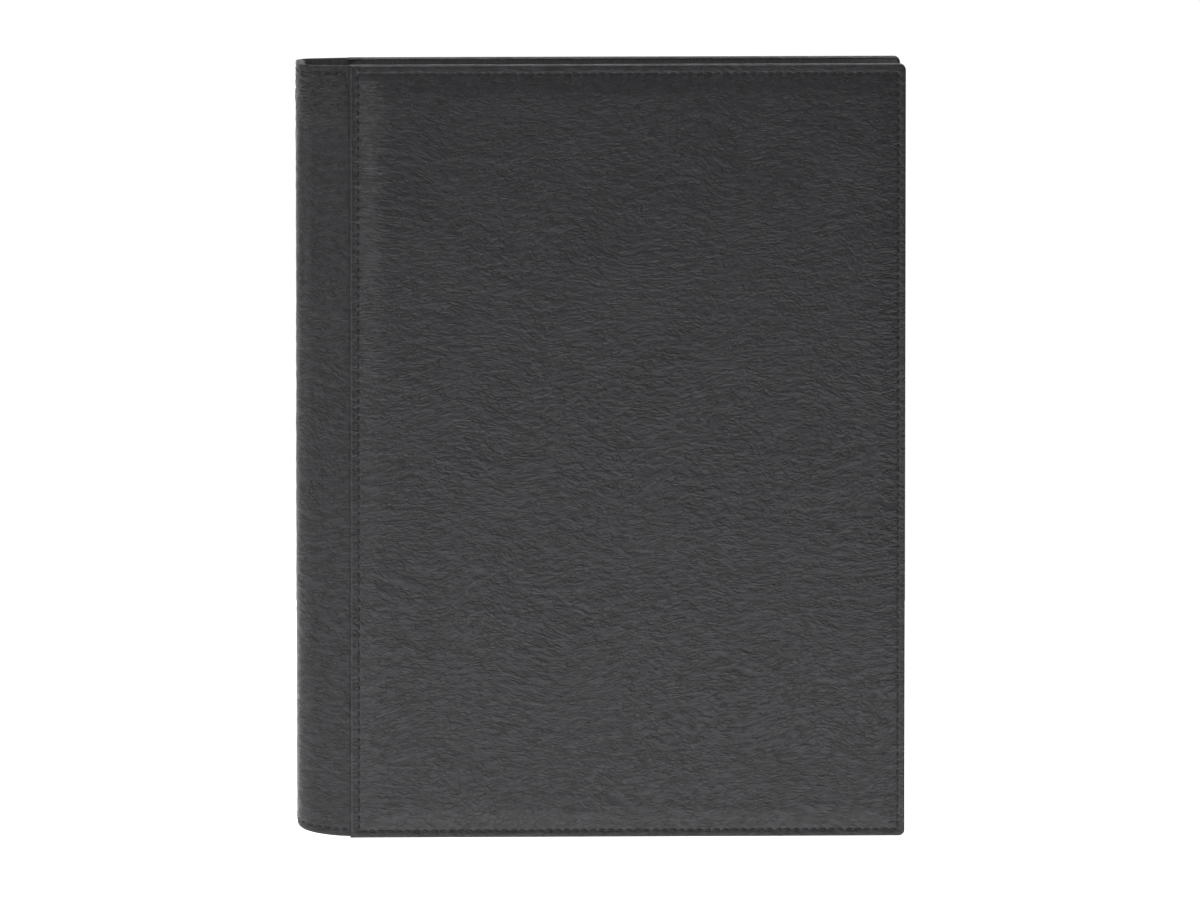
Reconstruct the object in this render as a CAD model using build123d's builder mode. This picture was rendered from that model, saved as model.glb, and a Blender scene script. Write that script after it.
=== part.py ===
from build123d import *
import os
from math import asin, cos, degrees, radians, tan

# Leather presentation portfolio, closed and standing on its bottom edge like a book.
# +X points to the fore edge, the front cover faces -Y and +Z is up.
# The origin is the centre of the bottom of the bounding box.  All sizes are in millimetres.

os.makedirs("parts", exist_ok=True)

# Driving dimensions -------------------------------------------------------------------------
HEIGHT = 318.0             # height of the covers
WIDTH = 249.0              # from the back of the spine to the fore edge of the front cover
THICKNESS = 38.0           # over both closed covers
FRONT_PANEL = 227.5        # width of the front panel, from its lapped edge to the fore edge
REAR_INSET = 0.8           # the rear cover is this much narrower than the front one
SPINE_DROP = 0.5           # the spine leather is this much shorter at the top and at the bottom
CORNER_RADIUS = 2.5        # rounding of the corners of a cover
SPINE_SLOPE = radians(10)  # the strip beside a cover slopes inwards by this much to the spine
SPINE_RADIUS = 8.0         # rounding between that slope and the back of the spine
FOLD_WIDTH = 12.5          # from the lapped edge to the fold line

# Layers of a cover and of the spine
LEATHER = 1.2
FOAM = 1.2
BOARD = 1.6
LINING = 0.6
SPINE_BOARD = 1.8
SPINE_BOARD_WIDTH = 14.4
TUCK = 12.0                # how far the hinge strip runs under the lapped edge
BOARD_START = 3.0          # the board starts this far behind the lapped edge
FOLD_GAP = 0.2             # half of the gap between a cover and the spine at the fold line
LINING_RADIUS = 4.7        # rounding of the lining inside the spine

# Stitching
THREAD_WIDTH = 0.7
THREAD_DEPTH = 0.4
STITCH_INSET = 3.2         # from the edge of a panel to its row of thread

# Pocket inside a cover
POCKET_THICKNESS = 1.4
POCKET_LEATHER = 0.6
POCKET_WIDTH = 182.0
POCKET_HEIGHT = 190.0
POCKET_SEAM = 3.0
POCKET_MARGIN = 4.0        # from the pocket to the edges of the lining
POCKET_NOTCH_RADIUS = 14.0

# Ring mechanism
RING_MEAN_RADIUS = 9.25
RING_WIRE = 2.4
RING_SPACING = 80.0
RING_COUNT = 4
RING_CENTRE_X = -109.0
RING_ARC_END = 125.0       # angle from the tip of a ring half to its straight foot
RING_TIP_GAP = 0.1
RING_FOOT = 8.0            # length of the straight foot before it is cut off at the rail
HOUSING_WIDTH = 18.6
HOUSING_HEIGHT = 4.5
HOUSING_LENGTH = 290.0
HOUSING_STEEL = 0.8
HOUSING_RADIUS = 3.0
RAIL_WIDTH = 8.15
RAIL_STEEL = 0.8
RAIL_LENGTH = 250.0
RAIL_GAP = 0.15            # from the middle plane to the inner edge of a rail
RAIL_LIFT = 1.3            # from the spine lining to the underside of a rail
SLOT_WIDTH = 4.9
SLOT_LENGTH = 3.2
SLOT_Y = 6.2
LEVER_WIDTH = 9.0
LEVER_STEEL = 1.2
LEVER_TAIL = 2.5           # from the pin to the inner end of a lever
LEVER_NECK = 4.0           # from the pin to the bend of a lever
LEVER_TAB_LENGTH = 7.0     # along Z, from the bend to the outer end
LEVER_TAB_RISE = 4.0       # away from the spine, from the bend to the outer end
LEVER_PIN_RADIUS = 0.8
LEVER_PIN_CLEARANCE = 0.05
LEVER_PIN_LIFT = 1.9       # from the spine lining to the axis of a lever pin
LEVER_PIN_INSET = 3.5      # from the end of the housing to a lever pin
LEVER_BARREL_RADIUS = 1.5
RIVET_INSET = 14.0         # from the end of the housing to a rivet
RIVET_RADIUS = 2.0
RIVET_HEAD_RADIUS = 3.6
RIVET_HEAD_HEIGHT = 1.1
RIVET_HEAD_ROUNDING = 0.6
RIVET_CLEARANCE = 0.05

# Leaves
LEAF_COUNT = 4             # clear sleeves in each stack
LEAF_WIDTH = 226.0
LEAF_HEIGHT = 304.0
LEAF_THICKNESS = 0.9
LEAF_PITCH = 1.0
LEAF_GAP = 0.1             # from the middle plane to the first leaf
LEAF_HOLE_OFFSET = 8.8     # from the centre of the rings to the holes of a leaf
LEAF_HOLE_RADIUS = 3.5
LEAF_HOLE_MARGIN = 8.8     # from the bound edge of a leaf to the centres of its holes
INSERT_MARGIN = 15.0       # from the bound edge of a leaf to its insert
INSERT_WIDTH = 210.0
INSERT_HEIGHT = 297.0
INSERT_THICKNESS = 0.5

# Worked-out positions -----------------------------------------------------------------------
SPINE_X = -WIDTH / 2                       # back of the spine
FORE_X = WIDTH / 2                         # fore edge of the front cover
FACE_Y = THICKNESS / 2                     # outer face of a cover
STRIP_Y = FACE_Y - LEATHER                 # outer face of the spine leather and of the foam
BOARD_Y = STRIP_Y - FOAM                   # outer face of the board
LINING_Y = BOARD_Y - BOARD                 # outer face of the lining
INSIDE_Y = LINING_Y - LINING               # inner face of the lining
LAP_X = FORE_X - FRONT_PANEL               # lapped edge of a panel
BOARD_X = LAP_X + BOARD_START
FOLD_X = LAP_X - FOLD_WIDTH                # fold line between the spine and a cover
MIDDLE_Z = HEIGHT / 2
STRIP_HEIGHT = HEIGHT - 2 * SPINE_DROP
CORE_HEIGHT = HEIGHT - 2 * LEATHER         # height of everything inside the turned edges
SPINE_LINING_X = SPINE_X + LEATHER + SPINE_BOARD
SPINE_INSIDE_X = SPINE_LINING_X + LINING   # inner face of the spine lining
HOUSING_TOP_X = SPINE_INSIDE_X + HOUSING_HEIGHT
RAIL_X = SPINE_INSIDE_X + RAIL_LIFT        # underside of the rails
LEVER_PIN_X = SPINE_INSIDE_X + LEVER_PIN_LIFT
LEVER_PIN_Z = HOUSING_LENGTH / 2 - LEVER_PIN_INSET
RIVET_Z = HOUSING_LENGTH / 2 - RIVET_INSET
LEAF_HOLE_X = RING_CENTRE_X + LEAF_HOLE_OFFSET
LEAF_EDGE_X = LEAF_HOLE_X - LEAF_HOLE_MARGIN

RING_HEIGHTS = [
    MIDDLE_Z + RING_SPACING * (index - (RING_COUNT - 1) / 2)
    for index in range(RING_COUNT)
]
SIDES = {"front": -1, "rear": 1}
FORE_EDGES = {"front": FORE_X, "rear": FORE_X - REAR_INSET}


def save(piece, name):
    """Give a finished piece its name and write it."""
    piece.label = name
    export_step(piece, f"parts/{name}.step")


def upright(side, depth):
    """Upright plane at a distance from the middle plane; extruding by side * t goes inwards."""
    return Plane.XZ.offset(-side * depth)


def level(height):
    """Horizontal plane."""
    return Plane.XY.offset(height)


def slope_y(x, depth):
    """Distance from the middle plane to the sloping strip, at a depth under its outer face."""
    return STRIP_Y - (LAP_X - x) * tan(SPINE_SLOPE) - depth / cos(SPINE_SLOPE)


def slope_outline(side, outer, inner):
    """Outline of a layer of the sloping strip between two depths, from the fold to the lap."""
    start = FOLD_X + FOLD_GAP
    return [
        (start, side * slope_y(start, outer)),
        (LAP_X, side * (STRIP_Y - outer)),
        (LAP_X, side * (STRIP_Y - inner)),
        (start, side * slope_y(start, inner)),
    ]


# Covers -------------------------------------------------------------------------------------

def draw_panel(x_low, x_high, height):
    """Draw an upright rectangle between two places in X, centred on the middle height."""
    with Locations(((x_low + x_high) / 2, MIDDLE_Z)):
        Rectangle(x_high - x_low, height)


def strip_row_bottoms():
    """Heights of the undersides of the two rows of thread along the strip and the spine."""
    low = SPINE_DROP + STITCH_INSET - THREAD_WIDTH / 2
    return (low, HEIGHT - low - THREAD_WIDTH)


def make_stitching(cover):
    """One ring of thread round the panel, and two short rows along the hinge strip."""
    side = SIDES[cover]
    low = LAP_X + STITCH_INSET
    high = FORE_EDGES[cover] - STITCH_INSET
    tall = HEIGHT - 2 * STITCH_INSET
    with BuildPart() as stitching:
        with BuildSketch(upright(side, FACE_Y)):
            draw_panel(low, high, tall)
        extrude(amount=side * THREAD_DEPTH)
        with BuildSketch(upright(side, FACE_Y)):
            draw_panel(low + THREAD_WIDTH, high - THREAD_WIDTH, tall - 2 * THREAD_WIDTH)
        extrude(amount=side * THREAD_DEPTH, mode=Mode.SUBTRACT)
        for bottom in strip_row_bottoms():
            with BuildSketch(level(bottom)):
                with BuildLine():
                    Polyline(*slope_outline(side, 0, THREAD_DEPTH), close=True)
                make_face()
            extrude(amount=THREAD_WIDTH)
    save(stitching.part, f"{cover}_stitching")
    return stitching.part


def make_facing_leather(cover, stitching):
    """Outer panel of a cover: a skin whose three free edges turn in round the board."""
    side = SIDES[cover]
    fore = FORE_EDGES[cover]
    with BuildPart() as facing_leather:
        with BuildSketch(upright(side, FACE_Y)):
            draw_panel(LAP_X, fore, HEIGHT)
        extrude(amount=side * (FACE_Y - INSIDE_Y))
        corners = facing_leather.edges().filter_by(Axis.Y)
        fillet(corners.group_by(Axis.X)[-1], CORNER_RADIUS)
        with BuildSketch(upright(side, STRIP_Y)):
            draw_panel(LAP_X, fore - LEATHER, CORE_HEIGHT)
        extrude(amount=side * (STRIP_Y - INSIDE_Y), mode=Mode.SUBTRACT)
        add(stitching, mode=Mode.SUBTRACT)
    save(facing_leather.part, f"{cover}_facing_leather")


def make_hinge_strip(cover, stitching):
    """Side of the wrap-round leather, sloping from the fold, then flat under the lapped edge."""
    side = SIDES[cover]
    with BuildPart() as hinge_strip:
        with BuildSketch(level(SPINE_DROP)):
            with BuildLine():
                Polyline(*slope_outline(side, 0, LEATHER), close=True)
            make_face()
        extrude(amount=STRIP_HEIGHT)
        with BuildSketch(upright(side, STRIP_Y)):
            draw_panel(LAP_X, LAP_X + TUCK, CORE_HEIGHT)
        extrude(amount=side * LEATHER)
        add(stitching, mode=Mode.SUBTRACT)
    save(hinge_strip.part, f"{cover}_hinge_strip")


def make_foam_pad(cover):
    """Thin foam between the leather and the board."""
    side = SIDES[cover]
    with BuildPart() as foam_pad:
        with BuildSketch(upright(side, STRIP_Y)):
            draw_panel(LAP_X + TUCK, FORE_EDGES[cover] - LEATHER, CORE_HEIGHT)
        extrude(amount=side * FOAM)
    save(foam_pad.part, f"{cover}_foam_pad")


def make_board(cover):
    """Stiff board of a cover."""
    side = SIDES[cover]
    with BuildPart() as board:
        with BuildSketch(upright(side, BOARD_Y)):
            draw_panel(BOARD_X, FORE_EDGES[cover] - LEATHER, CORE_HEIGHT)
        extrude(amount=side * BOARD)
    save(board.part, f"{cover}_board")


def make_lining(cover):
    """Inner lining: flat over the board, then down its edge and along the hinge strip."""
    side = SIDES[cover]
    fore = FORE_EDGES[cover] - LEATHER
    strip = slope_outline(side, LEATHER, LEATHER + LINING)
    outline = [
        strip[0],
        strip[1],
        (BOARD_X, side * BOARD_Y),
        (BOARD_X, side * LINING_Y),
        (fore, side * LINING_Y),
        (fore, side * INSIDE_Y),
        (BOARD_X - LINING, side * INSIDE_Y),
        (BOARD_X - LINING, side * (BOARD_Y - LINING)),
        strip[2],
        strip[3],
    ]
    with BuildPart() as lining:
        with BuildSketch(level(LEATHER)):
            with BuildLine():
                Polyline(*outline, close=True)
            make_face()
        extrude(amount=CORE_HEIGHT)
    save(lining.part, f"{cover}_lining")


def make_document_pocket(cover):
    """Leather pocket sewn to the lining on three sides, open at the top, with a thumb notch."""
    side = SIDES[cover]
    high = FORE_EDGES[cover] - LEATHER - POCKET_MARGIN
    low = high - POCKET_WIDTH
    bottom = LEATHER + POCKET_MARGIN
    middle = (low + high) / 2
    with BuildPart() as document_pocket:
        with BuildSketch(upright(side, INSIDE_Y)):
            with Locations((middle, bottom + POCKET_HEIGHT / 2)):
                Rectangle(POCKET_WIDTH, POCKET_HEIGHT)
            with Locations((middle, bottom + POCKET_HEIGHT)):
                Circle(POCKET_NOTCH_RADIUS, mode=Mode.SUBTRACT)
        extrude(amount=side * POCKET_THICKNESS)
        with BuildSketch(upright(side, INSIDE_Y)):
            with Locations((middle, bottom + POCKET_SEAM + POCKET_HEIGHT / 2)):
                Rectangle(POCKET_WIDTH - 2 * POCKET_SEAM, POCKET_HEIGHT)
        extrude(amount=side * (POCKET_THICKNESS - POCKET_LEATHER), mode=Mode.SUBTRACT)
    save(document_pocket.part, f"{cover}_document_pocket")


# Spine --------------------------------------------------------------------------------------

def spine_shell(back_x, depth, radius, thickness, bottom, height):
    """U-shaped wall round the back of the spine, at a depth under the leather, to the fold line."""
    with BuildPart() as shell:
        for inset, mode in ((0, Mode.ADD), (thickness, Mode.SUBTRACT)):
            back = back_x + inset
            back_y = slope_y(back, depth + inset)
            lap_y = slope_y(LAP_X, depth + inset)
            with BuildSketch(level(bottom)) as outline:
                with BuildLine():
                    Polyline(
                        (LAP_X, -lap_y), (LAP_X, lap_y), (back, back_y), (back, -back_y), close=True
                    )
                make_face()
                fillet(outline.vertices().group_by(Axis.X)[0], radius - inset)
            extrude(amount=height, mode=mode)
        split(bisect_by=Plane.YZ.offset(FOLD_X - FOLD_GAP), keep=Keep.BOTTOM)
    return shell.part


def draw_at_rivets(radius, mode=Mode.ADD):
    """Draw a circle at each rivet."""
    with Locations((0, MIDDLE_Z - RIVET_Z), (0, MIDDLE_Z + RIVET_Z)):
        Circle(radius, mode=mode)


def make_spine_stitching():
    """Two rows of thread round the back of the spine."""
    rows = [
        spine_shell(SPINE_X, 0, SPINE_RADIUS, THREAD_DEPTH, bottom, THREAD_WIDTH)
        for bottom in strip_row_bottoms()
    ]
    with BuildPart() as spine_stitching:
        add(rows)
    save(spine_stitching.part, "spine_stitching")
    return spine_stitching.part


def make_spine_leather(stitching):
    """Rounded middle of the wrap-round leather."""
    shell = spine_shell(SPINE_X, 0, SPINE_RADIUS, LEATHER, SPINE_DROP, STRIP_HEIGHT)
    with BuildPart() as spine_leather:
        add(shell)
        add(stitching, mode=Mode.SUBTRACT)
    save(spine_leather.part, "spine_leather")


def make_spine_lining():
    """Lining inside the spine, over the stiffener."""
    shell = spine_shell(
        SPINE_LINING_X, LEATHER, LINING_RADIUS, LINING, LEATHER, CORE_HEIGHT
    )
    with BuildPart() as spine_lining:
        add(shell)
        with BuildSketch(Plane.YZ.offset(SPINE_LINING_X)):
            draw_at_rivets(RIVET_RADIUS + RIVET_CLEARANCE)
        extrude(amount=LINING, mode=Mode.SUBTRACT)
    save(spine_lining.part, "spine_lining")


def make_spine_stiffener():
    """Board down the back of the spine, which carries the ring mechanism."""
    with BuildPart() as spine_stiffener:
        with BuildSketch(Plane.YZ.offset(SPINE_X + LEATHER)):
            with Locations((0, MIDDLE_Z)):
                Rectangle(SPINE_BOARD_WIDTH, CORE_HEIGHT)
            draw_at_rivets(RIVET_RADIUS + RIVET_CLEARANCE, Mode.SUBTRACT)
        extrude(amount=SPINE_BOARD)
    save(spine_stiffener.part, "spine_stiffener")


# Ring mechanism -----------------------------------------------------------------------------

def make_ring_housing():
    """Arched steel housing with slots for the rings and holes for the rivets and pins."""
    with BuildPart() as ring_housing:
        for inset, mode in ((0, Mode.ADD), (HOUSING_STEEL, Mode.SUBTRACT)):
            height = HOUSING_HEIGHT - inset
            with BuildSketch(level(MIDDLE_Z - HOUSING_LENGTH / 2)) as profile:
                with Locations((SPINE_INSIDE_X + height / 2, 0)):
                    Rectangle(height, HOUSING_WIDTH - 2 * inset)
                fillet(profile.vertices().group_by(Axis.X)[-1], HOUSING_RADIUS - inset)
            extrude(amount=HOUSING_LENGTH, mode=mode)
        with BuildSketch(Plane.YZ.offset(HOUSING_TOP_X)):
            for z in RING_HEIGHTS:
                with Locations((-SLOT_Y, z), (SLOT_Y, z)):
                    Rectangle(SLOT_WIDTH, SLOT_LENGTH)
            draw_at_rivets(RIVET_RADIUS + RIVET_CLEARANCE)
        extrude(amount=-2 * HOUSING_STEEL, mode=Mode.SUBTRACT)
        with BuildSketch(Plane.XZ):
            for z in (MIDDLE_Z - LEVER_PIN_Z, MIDDLE_Z + LEVER_PIN_Z):
                with Locations((LEVER_PIN_X, z)):
                    Circle(LEVER_PIN_RADIUS + LEVER_PIN_CLEARANCE)
        extrude(amount=HOUSING_WIDTH / 2, both=True, mode=Mode.SUBTRACT)
    save(ring_housing.part, "ring_housing")


def make_ring_rail(cover):
    """Flat toggle rail that carries one half of every ring."""
    side = SIDES[cover]
    with BuildPart() as ring_rail:
        with BuildSketch(Plane.YZ.offset(RAIL_X)):
            with Locations((side * (RAIL_GAP + RAIL_WIDTH / 2), MIDDLE_Z)):
                Rectangle(RAIL_WIDTH, RAIL_LENGTH)
        extrude(amount=RAIL_STEEL)
    save(ring_rail.part, f"ring_rail_{cover}")


def make_ring_halves(cover):
    """Wire halves of the rings: an arc from the tip, then a straight foot down to the rail."""
    side = SIDES[cover]
    start = degrees(asin(RING_TIP_GAP / 2 / RING_MEAN_RADIUS))
    with BuildPart() as ring_half:
        with BuildLine():
            arc = CenterArc(
                (RING_CENTRE_X, 0), RING_MEAN_RADIUS, side * start, side * (RING_ARC_END - start)
            )
            Line(arc @ 1, arc @ 1 + (arc % 1) * RING_FOOT)
        with BuildSketch(Plane(origin=arc @ 0, z_dir=arc % 0)):
            Circle(RING_WIRE / 2)
        sweep()
        split(bisect_by=Plane.YZ.offset(RAIL_X + RAIL_STEEL), keep=Keep.TOP)
    with BuildPart() as ring_halves:
        with Locations(*[(0, 0, z) for z in RING_HEIGHTS]):
            add(ring_half.part)
    save(ring_halves.part, f"ring_halves_{cover}")


def make_trigger_lever(end, name):
    """Bent steel lever at one end of the housing, on a barrel round its pin."""
    pin_z = MIDDLE_Z + end * LEVER_PIN_Z
    bend_z = pin_z + end * LEVER_NECK
    with BuildPart() as trigger_lever:
        with BuildSketch(Plane.XZ):
            with BuildLine():
                Polyline(
                    (LEVER_PIN_X, pin_z - end * LEVER_TAIL),
                    (LEVER_PIN_X, bend_z),
                    (LEVER_PIN_X + LEVER_TAB_RISE, bend_z + end * LEVER_TAB_LENGTH),
                )
            trace(line_width=LEVER_STEEL)
            with Locations((LEVER_PIN_X, pin_z)):
                Circle(LEVER_BARREL_RADIUS)
                Circle(LEVER_PIN_RADIUS + LEVER_PIN_CLEARANCE, mode=Mode.SUBTRACT)
        extrude(amount=LEVER_WIDTH / 2, both=True)
    save(trigger_lever.part, name)


def make_lever_pins():
    """Pins of the two levers, from one wall of the housing to the other."""
    with BuildPart() as lever_pins:
        with BuildSketch(Plane.XZ):
            for z in (MIDDLE_Z - LEVER_PIN_Z, MIDDLE_Z + LEVER_PIN_Z):
                with Locations((LEVER_PIN_X, z)):
                    Circle(LEVER_PIN_RADIUS)
        extrude(amount=HOUSING_WIDTH / 2, both=True)
    save(lever_pins.part, "lever_pins")


def make_mounting_rivets():
    """Two rivets that hold the housing to the stiffener."""
    board_x = SPINE_X + LEATHER
    with BuildPart() as mounting_rivets:
        with BuildSketch(Plane.YZ.offset(board_x)):
            draw_at_rivets(RIVET_RADIUS)
        extrude(amount=HOUSING_TOP_X - board_x)
        with BuildSketch(Plane.YZ.offset(HOUSING_TOP_X)):
            draw_at_rivets(RIVET_HEAD_RADIUS)
        extrude(amount=RIVET_HEAD_HEIGHT)
        fillet(mounting_rivets.edges().group_by(Axis.X)[-1], RIVET_HEAD_ROUNDING)
    save(mounting_rivets.part, "mounting_rivets")


# Leaves -------------------------------------------------------------------------------------

def leaf_depths():
    """Distances from the middle plane to the inner faces of the sleeves in a stack."""
    return [LEAF_GAP + LEAF_PITCH * index for index in range(LEAF_COUNT)]


def insert_panel():
    """Draw the outline of an insert."""
    low = LEAF_EDGE_X + INSERT_MARGIN
    draw_panel(low, low + INSERT_WIDTH, INSERT_HEIGHT)


def make_sleeves(cover):
    """Stack of clear sleeves, punched for the rings and open at the top."""
    side = SIDES[cover]
    film = (LEAF_THICKNESS - INSERT_THICKNESS) / 2
    opening = (LEAF_HEIGHT - INSERT_HEIGHT) / 2
    with BuildPart() as sleeves:
        for depth in leaf_depths():
            with BuildSketch(upright(side, depth)):
                draw_panel(LEAF_EDGE_X, LEAF_EDGE_X + LEAF_WIDTH, LEAF_HEIGHT)
                with Locations(*[(LEAF_HOLE_X, z) for z in RING_HEIGHTS]):
                    Circle(LEAF_HOLE_RADIUS, mode=Mode.SUBTRACT)
            extrude(amount=-side * LEAF_THICKNESS)
            with BuildSketch(upright(side, depth + film)):
                insert_panel()
                with Locations((LEAF_EDGE_X + INSERT_MARGIN + INSERT_WIDTH / 2, HEIGHT - opening)):
                    Rectangle(INSERT_WIDTH, 4 * opening)
            extrude(amount=-side * INSERT_THICKNESS, mode=Mode.SUBTRACT)
    save(sleeves.part, f"sleeves_{cover}")


def make_inserts(cover):
    """Black card in each sleeve."""
    side = SIDES[cover]
    film = (LEAF_THICKNESS - INSERT_THICKNESS) / 2
    with BuildPart() as inserts:
        for depth in leaf_depths():
            with BuildSketch(upright(side, depth + film)):
                insert_panel()
            extrude(amount=-side * INSERT_THICKNESS)
    save(inserts.part, f"inserts_{cover}")


# Build --------------------------------------------------------------------------------------

make_spine_leather(make_spine_stitching())
make_spine_stiffener()
make_spine_lining()
make_ring_housing()
make_trigger_lever(1, "trigger_lever_top")
make_trigger_lever(-1, "trigger_lever_bottom")
make_lever_pins()
make_mounting_rivets()

for cover_name in SIDES:
    cover_stitching = make_stitching(cover_name)
    make_facing_leather(cover_name, cover_stitching)
    make_hinge_strip(cover_name, cover_stitching)
    make_foam_pad(cover_name)
    make_board(cover_name)
    make_lining(cover_name)
    make_document_pocket(cover_name)
    make_ring_rail(cover_name)
    make_ring_halves(cover_name)
    make_sleeves(cover_name)
    make_inserts(cover_name)
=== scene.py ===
import math

import bmesh
import bpy
import numpy as np
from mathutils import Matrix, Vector


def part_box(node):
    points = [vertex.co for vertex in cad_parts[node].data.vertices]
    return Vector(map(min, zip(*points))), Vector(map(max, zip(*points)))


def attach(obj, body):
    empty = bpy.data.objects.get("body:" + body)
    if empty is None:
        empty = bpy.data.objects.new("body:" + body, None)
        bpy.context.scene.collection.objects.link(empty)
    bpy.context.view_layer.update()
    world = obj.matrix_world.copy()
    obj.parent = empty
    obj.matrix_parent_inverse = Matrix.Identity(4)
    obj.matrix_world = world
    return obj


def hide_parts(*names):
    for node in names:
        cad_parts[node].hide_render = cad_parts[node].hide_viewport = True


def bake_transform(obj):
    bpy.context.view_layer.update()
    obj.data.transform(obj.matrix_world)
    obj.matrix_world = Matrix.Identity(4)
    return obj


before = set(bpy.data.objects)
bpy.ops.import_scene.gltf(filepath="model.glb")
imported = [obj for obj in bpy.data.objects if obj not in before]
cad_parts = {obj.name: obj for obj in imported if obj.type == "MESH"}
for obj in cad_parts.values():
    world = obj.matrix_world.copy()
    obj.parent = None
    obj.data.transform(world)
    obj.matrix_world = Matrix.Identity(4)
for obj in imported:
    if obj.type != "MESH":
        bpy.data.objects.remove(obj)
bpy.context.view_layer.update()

# A closed leather presentation portfolio, standing on its bottom edge with its spine at -X.
# Work is done in millimetres and written to the meshes in metres.

MM = 0.001

# Leather ------------------------------------------------------------------------------------
PANEL_THICKNESS = 1.2      # leather of a cover panel where it lies on the hinge strip
EDGE_ROLL = 0.6            # radius of a turned edge
LAP_ROLL = 1.1             # radius of the lapped edge
CORNER_RADIUS = 2.5        # of a cover at its fore edge
LAP_CORNER_RADIUS = 1.0    # of a cover at its lapped edge
CROWN = 0.85               # how far the padding lifts the panel between its seams
CROWN_REACH = 9.0          # distance over which the padding rises from a seam
SEAM_DEPTH = 0.36          # depth of the groove that the thread pulls into the leather
SEAM_WIDTH = 0.75          # reach of that groove to each side
GRID_STEP = 0.98           # spacing of the relief grid on a panel
HEM_WIDTH = 0.95           # turned-in edge on the inside of a cover
HEM_DEPTH = 4.7            # from the outer face of a cover to the face of that hem
HEM_ROLL = 0.8             # radius of the edge over which that hem turns in

# Spine --------------------------------------------------------------------------------------
SPINE_SLOPE = math.radians(10)
SPINE_RADIUS = 8.0         # rounding between the slope and the back of the spine
WRAP_TUCK = 9.0            # how far the wrap runs under a panel
WRAP_STEP = 0.8            # spacing of the relief grid on the wrap

# Stitches -----------------------------------------------------------------------------------
STITCH_PITCH = 3.6
STITCH_LENGTH = 2.75
THREAD_RADIUS = 0.33
THREAD_SINK = 0.16         # depth of a thread's middle line below the face of the leather
THREAD_ARCH = 0.32         # how far the ends of a stitch dive below its middle
SEAM_TOP = 3.6             # from the top edge of a panel to its seam
SEAM_BOTTOM = 2.9
SEAM_FORE = 3.0
SEAM_LAP = 3.5
WRAP_SEAM = 3.0            # from the top and bottom edges of the wrap to its seams

SIDES = {"front": -1.0, "rear": 1.0}


def in_mm(corner):
    """A corner of a box, in millimetres."""
    return np.array(corner) / MM


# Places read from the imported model, in millimetres ------------------------------------------
facing_low, facing_high = (in_mm(c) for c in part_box("front_facing_leather"))
_, rear_high = (in_mm(c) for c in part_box("rear_facing_leather"))
spine_low, _ = (in_mm(c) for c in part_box("spine_leather"))
strip_low, _ = (in_mm(c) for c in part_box("front_hinge_strip"))
pocket_low, _ = (in_mm(c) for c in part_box("front_document_pocket"))

HEIGHT = facing_high[2]
FACE_Y = -facing_low[1]
LAP_X = facing_low[0]
STRIP_Y = -strip_low[1]
INSIDE_Y = -pocket_low[1]
SPINE_X = spine_low[0]
FORE_EDGES = {"front": facing_high[0], "rear": rear_high[0]}


# Noise --------------------------------------------------------------------------------------

def fade(t):
    """Smooth step from 0 to 1."""
    t = np.clip(t, 0.0, 1.0)
    return t * t * (3.0 - 2.0 * t)


def noise(u, v, seed):
    """Smooth gradient noise of about -1 to 1, with features about one unit across."""
    turns = np.random.default_rng(seed).uniform(0.0, 2.0 * np.pi, (256, 256))
    iu = np.floor(u).astype(int)
    iv = np.floor(v).astype(int)
    fu = u - iu
    fv = v - iv
    total = np.zeros(np.broadcast(u, v).shape)
    for du in (0, 1):
        for dv in (0, 1):
            angle = turns[(iu + du) % 256, (iv + dv) % 256]
            slope = np.cos(angle) * (fu - du) + np.sin(angle) * (fv - dv)
            weight_u = fade(fu) if du else 1.0 - fade(fu)
            weight_v = fade(fv) if dv else 1.0 - fade(fv)
            total += slope * weight_u * weight_v
    return total * 1.6


def crease(u, v, seed, sharpness):
    """Narrow creases: 0 between them and 1 along their bottoms."""
    return (1.0 - np.minimum(np.abs(noise(u, v, seed)) * 1.3, 1.0)) ** sharpness


def grain_relief(u, v, seed):
    """Relief of drawn, creased leather in millimetres: u runs across and v up."""
    bend = 7.0 * noise(u / 55.0, v / 48.0, seed) + 2.2 * noise(u / 16.0, v / 14.0, seed + 1)
    lean = v + 0.13 * u + bend
    soft = 0.075 * noise(u / 8.5, lean / 3.6, seed + 2)
    broad = 0.10 * noise(u / 26.0, lean / 15.0, seed + 3)
    lines = crease(u / 11.0, lean / 4.2, seed + 4, 7.0)
    lines += 0.7 * crease((u + 0.5 * v) / 8.0, (v - 0.35 * u) / 5.0, seed + 5, 8.0)
    patches = fade(0.5 + 0.9 * noise(u / 38.0, v / 30.0, seed + 6))
    drawn = crease((u + 0.3 * v) / 10.0, v / 36.0, seed + 7, 9.0)
    drawn *= fade((u - 70.0) / 70.0) * fade((130.0 - v) / 80.0)
    return soft + broad - 0.075 * lines * (0.35 + 0.65 * patches) - 0.11 * drawn


# Mesh tools ---------------------------------------------------------------------------------

def new_mesh(name, points, faces):
    """Object made from points in millimetres, shaded smooth, with its normals facing out."""
    mesh = bpy.data.meshes.new(name)
    mesh.from_pydata([tuple(p) for p in np.asarray(points, float) * MM], [], faces)
    shell = bmesh.new()
    shell.from_mesh(mesh)
    bmesh.ops.remove_doubles(shell, verts=shell.verts, dist=0.002 * MM)
    bmesh.ops.dissolve_degenerate(shell, edges=shell.edges, dist=0.001 * MM)
    bmesh.ops.recalc_face_normals(shell, faces=shell.faces)
    shell.to_mesh(mesh)
    shell.free()
    mesh.polygons.foreach_set("use_smooth", [True] * len(mesh.polygons))
    mesh.update()
    piece = bpy.data.objects.new(name, mesh)
    bpy.context.scene.collection.objects.link(piece)
    return piece


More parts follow.
